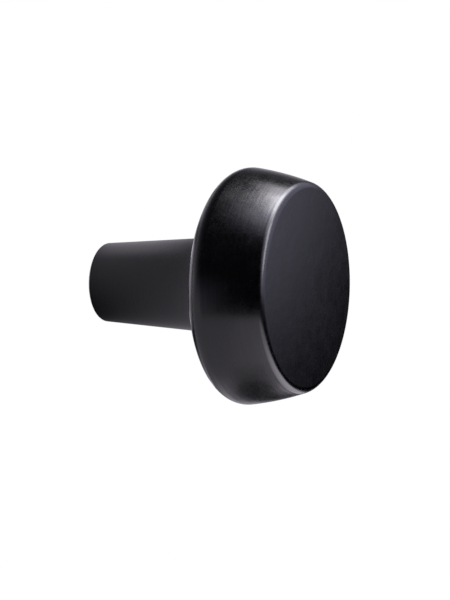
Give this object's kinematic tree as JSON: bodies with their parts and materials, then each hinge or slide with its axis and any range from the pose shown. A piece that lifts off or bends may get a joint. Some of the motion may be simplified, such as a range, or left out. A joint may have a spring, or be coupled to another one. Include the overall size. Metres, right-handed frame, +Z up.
{
  "type": "cabinet knob",
  "caption": "Round cabinet knob: a broad, gently crowned head with a tapering side on a slim flared stem, tapped in its base for a machine screw through a door or drawer front.",
  "frame": {"origin": "middle of the base that meets the door or drawer front", "axes": "+Y out of the base towards the door, along the knob's axis; the knob reaches out along -Y; +Z is up when it is fitted to an upright door"},
  "size_m": [0.032, 0.0311, 0.032],
  "materials": {
    "black_coat": "matte black coat on a metal casting, with a soft sheen and a very fine grain"
  },
  "bodies": {
    "root": {"knob": "black_coat"}
  },
  "joints": []
}
